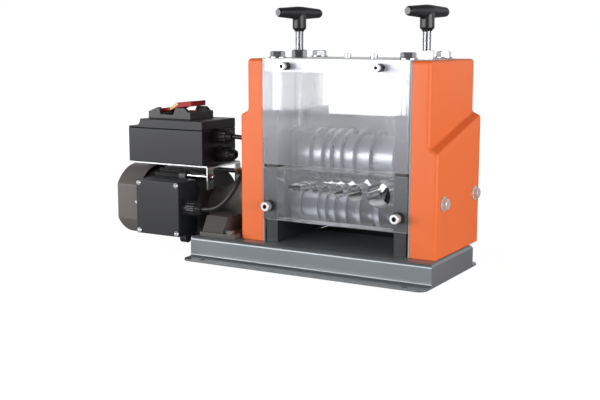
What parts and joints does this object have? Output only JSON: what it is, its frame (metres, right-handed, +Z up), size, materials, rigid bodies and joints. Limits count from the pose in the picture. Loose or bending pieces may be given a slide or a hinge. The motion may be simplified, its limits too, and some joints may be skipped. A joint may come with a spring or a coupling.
{
  "type": "wire stripping machine",
  "caption": "Powered bench wire stripper: sheet base, orange side covers, clear guard and feed guide, blade and feed rollers, T-handle adjusters, side motor and switch box.",
  "frame": {"origin": "centre of the four foot holes, on the underside of the base", "axes": "+X to the right along the machine, +Y to the back, +Z up; cables go in at the front, -Y"},
  "size_m": [0.5543, 0.1985, 0.357],
  "materials": {
    "orange_paint": "satin powder coat",
    "grey_paint": "satin",
    "frame_steel": "brushed",
    "light_sheet": "satin",
    "plate_aluminium": "fine brushed",
    "bright_steel": "polished",
    "blade_steel": "ground",
    "zinc_screws": "zinc plated",
    "clear_acrylic": "clear polished",
    "black_plastic": "matte",
    "dark_plastic": "fine grain",
    "black_casting": "semi-gloss",
    "motor_paint": "semi-gloss",
    "cap_paint": "satin",
    "bracket_zinc": "satin",
    "red_plastic": "gloss",
    "green_plastic": "gloss",
    "black_rubber": "satin"
  },
  "bodies": {
    "machine": {"base_frame": "grey_paint", "left_side_frame": "frame_steel", "right_side_frame": "frame_steel", "frame_screws": "zinc_screws", "frame_pillars": "bright_steel", "pillar_bolts": "zinc_screws", "top_plate": "plate_aluminium", "top_cap_screws": "zinc_screws", "lock_nuts": "zinc_screws", "rear_plate": "light_sheet", "lower_rear_plate": "frame_steel", "upper_guard": "clear_acrylic", "guard_screws": "bright_steel", "feed_guide": "clear_acrylic", "guide_screws": "bright_steel", "screw_sleeves": "black_rubber", "left_side_panel": "light_sheet", "right_side_panel": "light_sheet", "left_cover": "orange_paint", "right_cover": "orange_paint", "cover_bolts": "zinc_screws", "cover_spacers": "zinc_screws", "panel_spacers": "zinc_screws", "lower_bearings": "bright_steel", "gear_housing": "black_casting", "foot_bolts": "zinc_screws", "motor_housing": "motor_paint", "fan_cover": "cap_paint", "junction_box": "dark_plastic", "junction_lid": "dark_plastic", "junction_screws": "bright_steel", "switch_bracket": "bracket_zinc", "bracket_studs": "bright_steel", "switch_box": "dark_plastic", "switch_lid": "dark_plastic", "switch_base": "black_plastic", "cable_glands": "black_plastic", "motor_lead": "black_rubber"},
    "blade_carriage": {"left_bearing_block": "frame_steel", "right_bearing_block": "frame_steel", "upper_bearings": "bright_steel", "thrust_caps": "zinc_screws"},
    "blade_roller": {"blade_shaft": "bright_steel", "blade_discs": "blade_steel", "blade_spacers": "bright_steel", "blade_gear": "blade_steel", "blade_ring": "blade_steel"},
    "feed_drive": {"feed_shaft": "bright_steel", "feed_roller": "bright_steel", "feed_gear": "blade_steel", "feed_ring": "blade_steel"},
    "left_adjuster": {"left_screw": "zinc_screws", "left_handle": "black_plastic"},
    "right_adjuster": {"right_screw": "zinc_screws", "right_handle": "black_plastic"},
    "rotor": {"motor_shaft": "bright_steel", "cooling_fan": "black_plastic"},
    "flap": {"stop_flap": "red_plastic"},
    "start": {"start_button": "green_plastic"},
    "stop": {"stop_button": "red_plastic"}
  },
  "joints": [
    {"name": "blade_lift", "type": "slide", "parent": "machine", "child": "blade_carriage", "axis": [0, 0, 1], "range_m": [0, 0.0105]},
    {"name": "blade_spin", "type": "hinge", "parent": "blade_carriage", "child": "blade_roller", "pos_m": [0.0345, 0.025, 0.151], "axis": [1, 0, 0], "continuous": true},
    {"name": "feed_spin", "type": "hinge", "parent": "machine", "child": "feed_drive", "pos_m": [0.0345, 0.025, 0.081], "axis": [1, 0, 0], "continuous": true},
    {"name": "left_screw_turn", "type": "hinge", "parent": "blade_carriage", "child": "left_adjuster", "pos_m": [-0.063, 0.025, 0.322], "axis": [0, 0, 1], "range_deg": [0, 2160]},
    {"name": "right_screw_turn", "type": "hinge", "parent": "blade_carriage", "child": "right_adjuster", "pos_m": [0.132, 0.025, 0.322], "axis": [0, 0, 1], "range_deg": [0, 2160]},
    {"name": "motor_spin", "type": "hinge", "parent": "machine", "child": "rotor", "pos_m": [-0.318, 0.025, 0.062], "axis": [1, 0, 0], "continuous": true},
    {"name": "stop_flap_hinge", "type": "hinge", "parent": "machine", "child": "flap", "pos_m": [-0.3, 0.025, 0.2035], "axis": [0, -1, 0], "range_deg": [-8, 80]},
    {"name": "start_press", "type": "slide", "parent": "machine", "child": "start", "axis": [0, 0, -1], "range_m": [0, 0.003], "stiffness_N_per_m": 200, "springref_m": -0.001},
    {"name": "stop_press", "type": "slide", "parent": "machine", "child": "stop", "axis": [0, 0, -1], "range_m": [0, 0.003], "stiffness_N_per_m": 200, "springref_m": -0.001}
  ],
  "couplings": [
    {"joint": "left_screw_turn", "follows": "blade_lift", "rad_per_m": 3590.4},
    {"joint": "right_screw_turn", "follows": "blade_lift", "rad_per_m": 3590.4},
    {"joint": "blade_spin", "follows": "feed_spin", "ratio": -1},
    {"joint": "motor_spin", "follows": "feed_spin", "ratio": 20}
  ]
}
